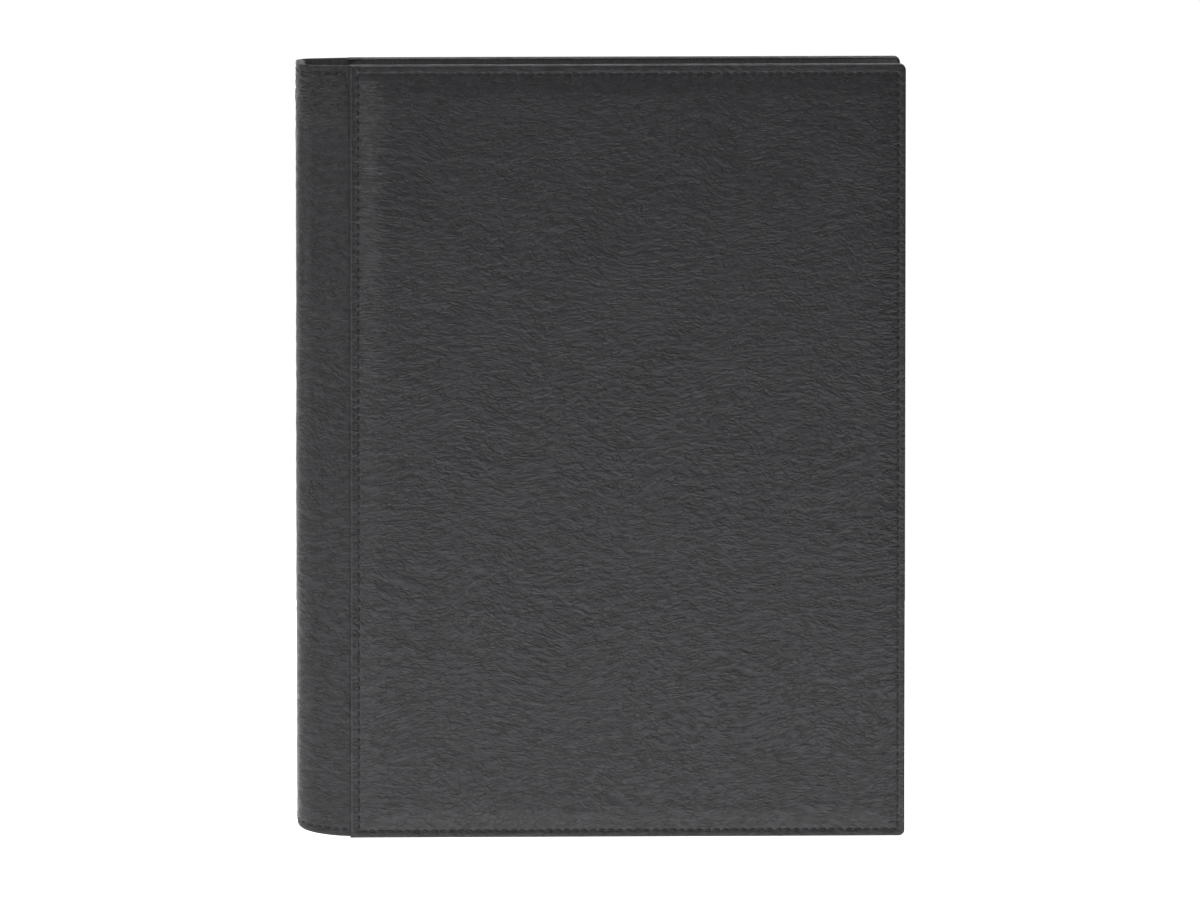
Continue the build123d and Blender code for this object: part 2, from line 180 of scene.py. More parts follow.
def add_box(shell, low, high):
    """Add a box to a mesh under construction: its corners are in millimetres."""
    made = bmesh.ops.create_cube(shell, size=1.0)["verts"]
    bmesh.ops.scale(shell, vec=(high - low) * MM, verts=made)
    bmesh.ops.translate(shell, vec=(low + high) / 2.0 * MM, verts=made)


def object_from(shell, name):
    """Object made from a mesh under construction."""
    mesh = bpy.data.meshes.new(name)
    shell.to_mesh(mesh)
    shell.free()
    piece = bpy.data.objects.new(name, mesh)
    bpy.context.scene.collection.objects.link(piece)
    return piece


def grid_faces(rows, columns, offset=0, flip=False):
    """Quads of a grid of points stored row by row."""
    faces = []
    for r in range(rows - 1):
        for c in range(columns - 1):
            a = offset + r * columns + c
            quad = (a, a + 1, a + columns + 1, a + columns)
            faces.append(quad[::-1] if flip else quad)
    return faces


def ring_of(rows, columns, offset=0):
    """Indices round the border of a grid, in order."""
    bottom = [offset + c for c in range(columns)]
    right = [offset + r * columns + columns - 1 for r in range(1, rows)]
    top = [offset + (rows - 1) * columns + c for c in range(columns - 2, -1, -1)]
    left = [offset + r * columns for r in range(rows - 2, 0, -1)]
    return bottom + right + top + left


def bridge(ring_a, ring_b):
    """Quads between two closed rings of the same length."""
    count = len(ring_a)
    return [
        (ring_a[i], ring_a[(i + 1) % count], ring_b[(i + 1) % count], ring_b[i])
        for i in range(count)
    ]


def grid_lines(length, seams, step):
    """Places of grid lines: close together at both edges and at the seams."""
    edge = np.array([0.0, 0.1, 0.3, 0.6, 0.95, 1.4, 2.0])
    seam = np.array([-0.85, -0.5, -0.22, 0.0, 0.22, 0.5, 0.85])
    lines = [edge, length - edge]
    lines += [place + seam for place in seams]
    lines.append(np.arange(5.2, length - 5.0, step))
    merged = np.sort(np.concatenate(lines))
    kept = [merged[0]]
    for place in merged[1:]:
        if place - kept[-1] > 0.085:
            kept.append(place)
    kept[-1] = length
    return np.array(kept)


def roll(distance, radius):
    """Drop of a turned edge of this radius, at a distance from the edge."""
    inside = np.clip(radius - distance, 0.0, radius)
    return radius - np.sqrt(radius * radius - inside * inside)


def round_corners(x, z, width, height, radii):
    """Bend the corners of a rectangular grid to quarter circles: radii are left and right."""
    for sign, radius in zip((-1, 1), radii):
        for end in (-1, 1):
            centre_x = radius if sign < 0 else width - radius
            centre_z = radius if end < 0 else height - radius
            dx = (x - centre_x) * sign
            dz = (z - centre_z) * end
            inside = (dx > 0) & (dz > 0)
            longest = np.maximum(dx, dz)
            reach = np.hypot(dx, dz)
            scale = np.where(inside, longest / np.maximum(reach, 1e-9), 1.0)
            x = np.where(inside, centre_x + sign * dx * scale, x)
            z = np.where(inside, centre_z + end * dz * scale, z)
    return x, z


def finish_mesh(piece, angle=42.0):
    """Keep real edges crisp while the rest stays smooth."""
    piece.data.set_sharp_from_angle(angle=math.radians(angle))
    return piece


# Cover panels -------------------------------------------------------------------------------

def seam_distance(u, v, width):
    """Signed distance inwards from the seam that runs round a panel."""
    return np.minimum.reduce(
        [u - SEAM_LAP, width - u - SEAM_FORE, v - SEAM_BOTTOM, HEIGHT - v - SEAM_TOP]
    )


def panel_relief(u, v, width, seed):
    """Height of a panel's leather over its flat face, and how far it drops at its edges."""
    to_lap, to_fore, to_bottom, to_top = u, width - u, v, HEIGHT - v
    drop = np.maximum(
        roll(np.minimum.reduce([to_fore, to_bottom, to_top]), EDGE_ROLL), roll(to_lap, LAP_ROLL)
    )
    inwards = seam_distance(u, v, width)
    crown = CROWN * fade(inwards / CROWN_REACH)
    across = np.minimum(np.abs(u - SEAM_LAP), np.abs(to_fore - SEAM_FORE))
    along = np.where(
        across < np.minimum(np.abs(v - SEAM_BOTTOM), np.abs(to_top - SEAM_TOP)), v, u
    )
    pull = 0.72 + 0.28 * np.cos(2.0 * np.pi * along / STITCH_PITCH)
    groove = SEAM_DEPTH * np.exp(-((inwards / SEAM_WIDTH) ** 2)) * pull

    grain = grain_relief(u, v, seed) * (0.16 + 0.84 * fade(inwards / 5.0))
    near_lap = np.exp(-((np.maximum(to_lap - 7.0, 0.0) / 8.0) ** 2)) * fade(inwards / 3.0)
    upper = 0.25 + 0.75 * fade((v - 150.0) / 90.0)
    puckers = 0.26 * near_lap * upper * noise(u / 13.0, v / 3.5, seed + 20)
    near_top = np.exp(-((np.maximum(to_top - 6.0, 0.0) / 6.0) ** 2)) * fade(inwards / 2.5)
    puckers += 0.08 * near_top * noise(u / 3.4, v / 13.0, seed + 21)
    near_corner = np.exp(-(((to_fore - 16.0) / 22.0) ** 2 + ((to_top - 15.0) / 20.0) ** 2))
    puckers += 0.10 * near_corner * fade(inwards / 3.0) * noise(
        (u + v) / 18.0, (v - u) / 4.2, seed + 22
    )
    # The turned lap stands up as a narrow lip with a valley behind it.
    lip = 0.24 * np.exp(-(((to_lap - 1.0) / 0.7) ** 2)) - 0.18 * np.exp(
        -(((to_lap - 2.25) / 0.6) ** 2)
    )
    return crown - groove + grain + puckers + lip, drop


def edge_band(side, width):
    """Points and faces of the turned edge that closes three sides of a cover."""
    # The section is (inset from the edge, depth below the outer face).
    section = [(0.04, 0.45), (0.0, 0.6), (0.0, HEM_DEPTH - HEM_ROLL)]
    for step in range(1, 6):
        turn = math.radians(18 * step)
        section.append((
            HEM_ROLL - HEM_ROLL * math.cos(turn), HEM_DEPTH - HEM_ROLL + HEM_ROLL * math.sin(turn)
        ))
    section += [(HEM_WIDTH, HEM_DEPTH - 0.12), (HEM_WIDTH, 0.45)]
    # The path is (u, v, inward u, inward v), from the lap along the bottom to the lap at the top.
    path = [(0.0, 0.0, 0.0, 1.0)]
    centre_x = width - CORNER_RADIUS
    for centre_z, start in ((CORNER_RADIUS, 270), (HEIGHT - CORNER_RADIUS, 0)):
        for step in range(9):
            turn = math.radians(start + 90 * step / 8)
            path.append((
                centre_x + CORNER_RADIUS * math.cos(turn),
                centre_z + CORNER_RADIUS * math.sin(turn),
                -math.cos(turn),
                -math.sin(turn),
            ))
    path.append((0.0, HEIGHT, 0.0, -1.0))
    points = []
    for u, v, inward_u, inward_v in path:
        for inset, depth in section:
            points.append((
                LAP_X + u + inward_u * inset, side * (FACE_Y - depth), v + inward_v * inset
            ))
    count = len(section)
    faces = []
    for station in range(len(path) - 1):
        low = [station * count + i for i in range(count)]
        high = [(station + 1) * count + i for i in range(count)]
        faces += bridge(low, high)
    faces.append(tuple(range(count)))
    faces.append(tuple(range((len(path) - 1) * count, len(path) * count)))
    return points, faces


def cover_leather(name, seed):
    """Padded panel of a cover with its seam, its crease grain and its turned edges."""
    side = SIDES[name]
    width = FORE_EDGES[name] - LAP_X
    step = GRID_STEP
    u_lines = grid_lines(width, (SEAM_LAP, width - SEAM_FORE), step)
    v_lines = grid_lines(HEIGHT, (SEAM_BOTTOM, HEIGHT - SEAM_TOP), step)
    u, v = np.meshgrid(u_lines, v_lines)
    rise, drop = panel_relief(u, v, width, seed)
    x, z = round_corners(u, v, width, HEIGHT, (LAP_CORNER_RADIUS, CORNER_RADIUS))
    y = side * (FACE_Y - drop + rise)
    top = np.stack([LAP_X + x, y, z], axis=-1).reshape(-1, 3)
    rows, columns = u.shape
    faces = grid_faces(rows, columns)

    border = ring_of(rows, columns)
    under = top[border].copy()
    under[:, 1] = side * (FACE_Y - PANEL_THICKNESS)
    points = np.vstack([top, under])
    under_ring = list(range(len(top), len(points)))
    faces += bridge(border, under_ring)
    faces.append(tuple(under_ring))

    band_points, band_faces = edge_band(side, width)
    faces += [tuple(i + len(points) for i in face) for face in band_faces]
    points = np.vstack([points, np.array(band_points)])
    piece = finish_mesh(new_mesh(f"{name}_cover_leather", points, faces))
    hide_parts(f"{name}_facing_leather")
    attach(piece, f"{name}_cover")
    return piece


# Wrap-round leather and its lining ----------------------------------------------------------

BACK_FLAT = 9              # points across half of the flat back of the spine
ARC_STEPS = 14             # points round the spine's rounding
LAP_STEPS = 7              # points along the part under a panel
LEATHER_THICKNESS = 1.2
LINING_THICKNESS = 0.6
SPINE_LINING_X = SPINE_X + 3.0
SPINE_LINING_RADIUS = 4.7
WRAP_LENGTH = HEIGHT - 1.0     # height over which the relief of the wrap is laid out
END_REACH = 26.0               # the lower end of the wrap rises over this much of its path
END_RISE = 4.3                 # how far it rises
LOWER_END = 0.5                # height of the lower end beside the lap
UPPER_END = HEIGHT - 0.05
HEM_PLACES = (7.3, 10.1, 13.6, 18.5)   # places along the path from the middle of the spine
HEM_SPREAD = (1.7, 1.3, 0.5, 0.0)      # thickness of the turned-in leather there


def wrap_outline(back, depth, radius, end_x, step):
    """Outline (x, distance from the middle plane) from the middle of the spine to under a panel."""
    slope = math.tan(SPINE_SLOPE)
    lap_y = STRIP_Y - depth / math.cos(SPINE_SLOPE)
    centre_x = back + radius
    centre_y = lap_y - (LAP_X - centre_x) * slope - radius / math.cos(SPINE_SLOPE)
    outline = [(back, y) for y in np.linspace(0.0, centre_y, BACK_FLAT)]
    for turn in np.linspace(0.0, math.pi / 2 - SPINE_SLOPE, ARC_STEPS)[1:]:
        outline.append((centre_x - radius * math.cos(turn), centre_y + radius * math.sin(turn)))
    start_x = outline[-1][0]
    count = max(4, round((LAP_X - start_x) / step))
    for x in np.linspace(start_x, LAP_X, count)[1:]:
        outline.append((x, lap_y - (LAP_X - x) * slope))
    for x in np.linspace(LAP_X, end_x, LAP_STEPS)[1:]:
        outline.append((x, STRIP_Y - depth))
    outline = np.array(outline)
    lengths = np.concatenate([[0.0], np.cumsum(np.hypot(*np.diff(outline, axis=0).T))])
    lap = np.interp(LAP_X, outline[BACK_FLAT + ARC_STEPS:, 0], lengths[BACK_FLAT + ARC_STEPS:])
    return outline, lengths, lap


def wrap_ends(from_lap):
    """Lower and upper ends of the wrap at a distance from the lap, towards the back."""
    reach = np.clip(from_lap, 0.0, END_REACH) / END_REACH
    return LOWER_END + END_RISE * reach ** 2.2, UPPER_END


def wrap_relief(s, lap, v, height, side):
    """Relief of the wrap's leather: s is the path length from the middle of the spine."""
    signed = side * (s - 2.0 * np.tanh(s / 2.0))
    to_end = np.minimum(v, height - v)
    seam = to_end - WRAP_SEAM
    pull = 0.7 + 0.3 * np.cos(2.0 * np.pi * s / STITCH_PITCH)
    groove = SEAM_DEPTH * np.exp(-((seam / SEAM_WIDTH) ** 2)) * pull
    bend = 5.0 * noise(signed / 26.0, v / 40.0, 71) + 1.5 * noise(signed / 9.0, v / 12.0, 72)
    wrinkles = 0.11 * noise(signed / 12.0, (v + bend) / 3.7, 73)
    wrinkles -= 0.10 * crease(signed / 15.0, (v + bend) / 5.0, 74, 7.0)
    broad = 0.08 * noise(signed / 13.0, v / 22.0, 75)
    inside = 0.15 + 0.85 * fade(seam / 5.0)
    fan = (signed + side * -8.0) * 0.35
    near_top = np.exp(-(((height - v - 10.0) / 8.0) ** 2))
    puckers = 0.42 * near_top * noise((signed + fan) / 9.0, (v + 0.5 * signed) / 3.0, 76)
    shown = fade((lap - s) / 1.6)
    drop = roll(to_end, 0.6)
    rise = (wrinkles + broad) * inside + puckers * fade(seam / 2.0)
    return rise * shown - groove * shown - drop


def closed_sheet(name, outer, inner):
    """Solid between two grids of points that share their border order."""
    rows, columns, _ = outer.shape
    points = np.vstack([outer.reshape(-1, 3), inner.reshape(-1, 3)])
    size = rows * columns
    faces = grid_faces(rows, columns) + grid_faces(rows, columns, size, flip=True)
    faces += bridge(ring_of(rows, columns), ring_of(rows, columns, size))
    return new_mesh(name, points, faces)


def outward_normals(outline):
    """Unit normals of an outline, away from the inside of the spine."""
    tangent = np.gradient(outline, axis=0)
    tangent /= np.linalg.norm(tangent, axis=1)[:, None]
    return np.stack([-tangent[:, 1], tangent[:, 0]], axis=1)


def wrap_lines(height, step):
    """Places of grid lines up the wrap: close together at its ends and at its seams."""
    edge = np.array([0.0, 0.08, 0.25, 0.5, 0.9, 1.4])
    seam = WRAP_SEAM + np.array([-0.8, -0.45, -0.2, 0.0, 0.2, 0.45, 0.8])
    ends = np.concatenate([edge, seam])
    middle = np.linspace(4.4, height - 4.4, int((height - 8.8) / step))
    return np.concatenate([ends, middle, (height - ends)[::-1]])


def bend_with_cover(piece):
    """Bake the piece's placement into its mesh; it stays where it was built."""
    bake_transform(piece)


def wrap_leather(name):
    """Half of the soft leather that wraps the spine, from its middle to under a panel."""
    side = SIDES[name]
    step = WRAP_STEP
    outline, lengths, lap = wrap_outline(SPINE_X, 0.0, SPINE_RADIUS, LAP_X + WRAP_TUCK, step)
    s, v = np.meshgrid(lengths, wrap_lines(WRAP_LENGTH, step))
    low, high = wrap_ends(lap - s)
    z = low + v / WRAP_LENGTH * (high - low)
    rise = wrap_relief(s, lap, v, WRAP_LENGTH, side)
    normal = outward_normals(outline)
    # At both ends the leather is turned in: shallow over the board, deeper in the rounding.
    turned_in = np.interp(s, HEM_PLACES, HEM_SPREAD)
    reach = np.where(s < 7.6, 0.9, 3.0)
    turned_in *= 1.0 - fade((np.minimum(v, WRAP_LENGTH - v) - reach) / 0.5)
    grids = []
    for lift in (rise, 0.02 - LEATHER_THICKNESS - turned_in):
        x = outline[:, 0] + normal[:, 0] * lift
        y = side * (outline[:, 1] + normal[:, 1] * lift)
        grids.append(np.stack([x, y, z], axis=-1))
    piece = finish_mesh(closed_sheet(f"{name}_wrap_leather", *grids))
    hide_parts(f"{name}_hinge_strip", "spine_leather")
    bend_with_cover(piece)
    return piece


def wrap_lining(name):
    """Half of the cloth inside the spine, from its middle to under a cover's lining."""
    side = SIDES[name]
    step = 2.0
    layers = []
    for inset in (0.0, LINING_THICKNESS):
        layers.append(wrap_outline(
            SPINE_LINING_X + inset,
            LEATHER_THICKNESS + inset,
            SPINE_LINING_RADIUS - inset,
            LAP_X + 2.8,
            step,
        ))
    heights = np.linspace(0.0, 1.0, int(HEIGHT / (2.0 * step)))
    grids = []
    for (outline, lengths, lap), hollow in zip(layers, (0.0, 0.05)):
        s, part = np.meshgrid(lengths, heights)
        low, high = wrap_ends(lap - s)
        z = low + 0.9 + part * (high - low - 1.2)
        lift = hollow * noise(s / 6.0, z / 14.0, 90)
        x = outline[:, 0] + lift
        y = np.broadcast_to(side * outline[:, 1], x.shape)
        grids.append(np.stack([x, y, z], axis=-1))
    piece = finish_mesh(closed_sheet(f"{name}_spine_cloth", *grids))
    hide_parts("spine_lining")
    bend_with_cover(piece)
    return piece


# Inside of the covers -----------------------------------------------------------------------

CLOTH_INSET = 0.9          # from the edges of a cover to its lining
BESIDE_FOLD_Y = 15.42      # face of the cloth beside the fold, before it steps up over the board


def cover_lining(name):
    """Cloth glued over the inside of a board, rounded over the board's inner edge."""
    side = SIDES[name]
    start, end = LAP_X + 1.2, FORE_EDGES[name] - CLOTH_INSET
    step = 2.4
    over_edge = np.array([0.0, 0.5, 1.0, 1.4, 1.8, 2.2, 2.6, 3.1, 3.7])
    u_lines = np.concatenate([over_edge, np.arange(5.0, end - start, step), [end - start]])
    v_lines = np.linspace(CLOTH_INSET, HEIGHT - CLOTH_INSET, int(HEIGHT / step))
    u, v = np.meshgrid(u_lines, v_lines)
    face = BESIDE_FOLD_Y - (BESIDE_FOLD_Y - INSIDE_Y) * fade((u - 0.3) / 2.6)
    weave = 0.04 * noise(u / 21.0, v / 24.0, 95) * fade(u / 8.0)
    x = start + u
    inner = np.stack([x, side * (face + weave), v], axis=-1)
    outer = np.stack([x, side * (face + LINING_THICKNESS), v], axis=-1)
    piece = finish_mesh(closed_sheet(f"{name}_cover_cloth", inner, outer))
    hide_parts(f"{name}_lining")
    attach(piece, f"{name}_cover")
    return piece


POCKET_SEAM = 2.2          # from the sides of a pocket to its stitching
POCKET_HEM = 6.0           # depth of the folded hem along the open top
POCKET_LEATHER = 0.62      # thickness of its leather
POCKET_RISE = 1.36         # from the lining to the face of a pocket
NOTCH_RADIUS = 14.0        # thumb notch in its open edge


def notch_drop(from_middle):
    """Depth of the thumb notch at a distance from its middle."""
    inside = np.clip(1.0 - (from_middle / NOTCH_RADIUS) ** 2, 0.0, 1.0)
    return NOTCH_RADIUS * np.sqrt(inside)


def pocket_face(u, v, width, edge_v):
    """Height of a pocket's leather over the lining."""
    to_seam = np.minimum.reduce([u, width - u, v])
    slack = POCKET_RISE - 0.3 - POCKET_LEATHER
    rise = POCKET_LEATHER + 0.05 + slack * fade((to_seam - 3.0) / 8.0)
    rise += 0.22 * fade((POCKET_HEM + 0.4 - (edge_v - v)) / 0.8)
    groove = 0.28 * np.exp(-(((to_seam - POCKET_SEAM) / 0.6) ** 2))
    wrinkle = 0.07 * noise(u / 9.0, v / 7.0, 101) + 0.03 * noise(u / 3.6, v / 3.2, 102)
    drop = roll(np.minimum(to_seam, edge_v - v), 0.4)
    return rise - groove + wrinkle * fade((to_seam - 3.0) / 4.0) - drop


def pocket(name):
    """Document pocket: leather stitched to the lining on three sides, with a thumb notch."""
    side = SIDES[name]
    low, high = (in_mm(c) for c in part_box(f"{name}_document_pocket"))
    width, height = high[0] - low[0], high[2] - low[2]
    step = 1.7
    edge = np.array([0.0, 0.12, 0.4, 0.9, 1.5, 2.0, 2.4, 2.9, 3.4, 4.2])
    middle = width / 2.0
    notch = middle + NOTCH_RADIUS * np.cos(np.linspace(math.pi, 0.0, 41))
    left = np.arange(5.4, middle - NOTCH_RADIUS - 0.6, step)
    u_lines = np.concatenate([edge, left, notch, (width - left)[::-1], (width - edge)[::-1]])
    top_edge = np.array([0.0, 0.12, 0.4, 0.9, 1.6, 2.6, 3.8, 4.8, 5.6, 6.0, 6.4, 7.0, 8.0])
    v_lines = np.concatenate([
        edge,
        np.arange(5.4, height - 26.0, step),
        (height - 9.5) - np.linspace(12, 0, 9),
        (height - top_edge)[::-1],
    ])
    u, v = np.meshgrid(u_lines, v_lines)
    edge_v = height - notch_drop(u - middle)
    # Rows near the open edge follow the notch; the rows below it stay level.
    bent = v - (height - edge_v) * fade((v - (height - 60.0)) / 50.0)
    face = pocket_face(u, bent, width, edge_v)
    x = low[0] + u
    z = low[2] + bent
    outer = np.stack([x, side * (INSIDE_Y - face), z], axis=-1)
    inner = np.stack([x, side * (INSIDE_Y - face + POCKET_LEATHER - 0.04), z], axis=-1)
    piece = finish_mesh(closed_sheet(f"{name}_pocket_leather", outer, inner))
    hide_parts(f"{name}_document_pocket")
    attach(piece, f"{name}_cover")
    return piece


CARD_COUNT = 4
CARD_THICKNESS = 0.4       # thinner than its sleeve's pocket, so that the film clears it
CARD_POCKET = 0.5          # depth of the pocket in a sleeve
CARD_GAP = 0.2             # from a card to each edge of its pocket


def black_cards(name):
    """The card in each clear sleeve of a stack."""
    low, high = (in_mm(c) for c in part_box(f"inserts_{name}"))
    pitch = (high[1] - low[1] - CARD_POCKET) / (CARD_COUNT - 1)
    shell = bmesh.new()
    for card in range(CARD_COUNT):
        middle_y = low[1] + CARD_POCKET / 2.0 + card * pitch
        card_low, card_high = low + CARD_GAP, high - CARD_GAP
        card_low[1] = middle_y - CARD_THICKNESS / 2.0
        card_high[1] = middle_y + CARD_THICKNESS / 2.0
        add_box(shell, card_low, card_high)
    piece = object_from(shell, f"{name}_black_cards")
    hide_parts(f"inserts_{name}")
    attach(piece, f"{name}_leaves")
    return piece


BOARD_ENDS = (6.8, HEIGHT - 1.9)   # clear of the leather turned in at both ends of the spine
BOARD_EASING = 0.3


def spine_board():
    """Stiff board between the leather and the lining of the spine, with eased edges."""
    low, high = (in_mm(c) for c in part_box("spine_stiffener"))
    low[2], high[2] = BOARD_ENDS
    shell = bmesh.new()
    add_box(shell, low, high)
    bmesh.ops.bevel(
        shell, geom=shell.edges[:], offset=BOARD_EASING * MM, segments=2, affect="EDGES",
        profile=0.5,
    )
    piece = finish_mesh(object_from(shell, "spine_board"))
    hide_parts("spine_stiffener")
    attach(piece, "spine")
    return piece


# Stitches -----------------------------------------------------------------------------------

THREAD_SIDES = 8           # sides of a thread
THREAD_RINGS = 7           # rings along one stitch


def stitch_points(start, end, out):
    """A stitch that dives at both ends: points of a short curved capsule."""
    start, end, out = (np.asarray(value, float) for value in (start, end, out))
    along = end - start
    length = np.linalg.norm(along)
    along /= length
    across = np.cross(along, out)
    across /= np.linalg.norm(across)
    points = [start - out * THREAD_ARCH]
    for ring in range(THREAD_RINGS):
        part = (ring + 0.5) / THREAD_RINGS
        bow = 1.0 - (2.0 * part - 1.0) ** 2
        size = THREAD_RADIUS * (0.55 + 0.45 * math.sqrt(max(bow, 0.0)))
        centre = start + along * length * part - out * THREAD_ARCH * (1.0 - bow)
        for turn in np.linspace(0.0, 2.0 * math.pi, THREAD_SIDES, endpoint=False):
            points.append(centre + size * (math.cos(turn) * across + math.sin(turn) * out))
    points.append(end - out * THREAD_ARCH)
    return points


def stitch_faces(offset):
    """Faces of one stitch whose points start at this index."""
    faces = []
    for i in range(THREAD_SIDES):
        following = (i + 1) % THREAD_SIDES
        faces.append((offset, offset + 1 + following, offset + 1 + i))
        for ring in range(THREAD_RINGS - 1):
            a = offset + 1 + ring * THREAD_SIDES
            faces.append((a + i, a + following, a + THREAD_SIDES + following, a + THREAD_SIDES + i))
        last = offset + 1 + (THREAD_RINGS - 1) * THREAD_SIDES
        faces.append((last + i, last + following, offset + 1 + THREAD_RINGS * THREAD_SIDES))
    return faces


def thread_piece(name, stitches):
    """One object of many stitches, each (start, end, outward direction)."""
    points, faces = [], []
    for start, end, out in stitches:
        faces += stitch_faces(len(points))
        points += stitch_points(start, end, out)
    piece = new_mesh(name, points, faces)
    return piece


def row_of_stitches(first, last, seed):
    """(start, end, lean) of each stitch along a straight row, with slight unevenness."""
    uneven = np.random.default_rng(seed)
    length = last - first
    count = max(1, round(length / STITCH_PITCH))
    pitch = length / count
    places = []
    for i in range(count):
        middle = first + (i + 0.5) * pitch + uneven.uniform(-0.12, 0.12)
        half = STITCH_LENGTH / 2.0 + uneven.uniform(-0.12, 0.12)
        places.append((middle - half, middle + half, uneven.uniform(-0.07, 0.07)))
    return places


def cover_thread(name):
    """Stitches round a cover panel."""
    side = SIDES[name]
    width = FORE_EDGES[name] - LAP_X
    sunk = FACE_Y - THREAD_SINK
    out = (0.0, side, 0.0)
    stitches = []
    for level, seed in ((SEAM_BOTTOM, 1), (HEIGHT - SEAM_TOP, 2)):
        for a, b, lean in row_of_stitches(SEAM_LAP, width - SEAM_FORE, seed):
            stitches.append((
                (LAP_X + a, side * sunk, level - lean), (LAP_X + b, side * sunk, level + lean), out
            ))
    for u, seed in ((SEAM_LAP, 3), (width - SEAM_FORE, 4)):
        for a, b, lean in row_of_stitches(SEAM_BOTTOM, HEIGHT - SEAM_TOP, seed):
            stitches.append((
                (LAP_X + u - lean, side * sunk, a), (LAP_X + u + lean, side * sunk, b), out
            ))
    piece = thread_piece(f"{name}_cover_thread", stitches)
    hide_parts(f"{name}_stitching")
    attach(piece, f"{name}_cover")
    return piece


def pocket_thread(name):
    """Stitches along the closed sides of a pocket."""
    side = SIDES[name]
    low, high = (in_mm(c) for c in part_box(f"{name}_document_pocket"))
    width, height = high[0] - low[0], high[2] - low[2]
    face = INSIDE_Y - POCKET_LEATHER + 0.1
    out = (0.0, -side, 0.0)
    stitches = []
    for a, b, lean in row_of_stitches(POCKET_SEAM, width - POCKET_SEAM, 11):
        level = low[2] + POCKET_SEAM
        stitches.append((
            (low[0] + a, side * face, level - lean), (low[0] + b, side * face, level + lean), out
        ))
    for u, seed in ((POCKET_SEAM, 12), (width - POCKET_SEAM, 13)):
        for a, b, lean in row_of_stitches(POCKET_SEAM, height - 1.5, seed):
            stitches.append((
                (low[0] + u - lean, side * face, low[2] + a),
                (low[0] + u + lean, side * face, low[2] + b),
                out,
            ))
    piece = thread_piece(f"{name}_pocket_thread", stitches)
    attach(piece, f"{name}_cover")
    return piece


def wrap_thread(name):
    """Stitches along the top and bottom of the wrap, from the middle of the spine to the lap."""
    side = SIDES[name]
    outline, lengths, lap = wrap_outline(SPINE_X, 0.0, SPINE_RADIUS, LAP_X + WRAP_TUCK, WRAP_STEP)
    normal = outward_normals(outline)
    stitches = []
    for v, seed in ((WRAP_SEAM, 21), (WRAP_LENGTH - WRAP_SEAM, 22)):
        for a, b, lean in row_of_stitches(0.6, lap - 0.8, seed):
            ends = []
            for place, tilt in ((a, -lean), (b, lean)):
                x = np.interp(place, lengths, outline[:, 0] - THREAD_SINK * normal[:, 0])
                y = np.interp(place, lengths, outline[:, 1] - THREAD_SINK * normal[:, 1])
                low, high = wrap_ends(lap - place)
                ends.append((x, side * y, low + (v + tilt) / WRAP_LENGTH * (high - low)))
            middle = (a + b) / 2.0
            out = np.array([
                np.interp(middle, lengths, normal[:, 0]),
                side * np.interp(middle, lengths, normal[:, 1]),
                0.0,
            ])
            stitches.append((ends[0], ends[1], out / np.linalg.norm(out)))
    piece = thread_piece(f"{name}_wrap_thread", stitches)
    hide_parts("spine_stitching")
    bend_with_cover(piece)
    return piece


# Finishes -----------------------------------------------------------------------------------

ALONG_X, ALONG_Z = 0, 2


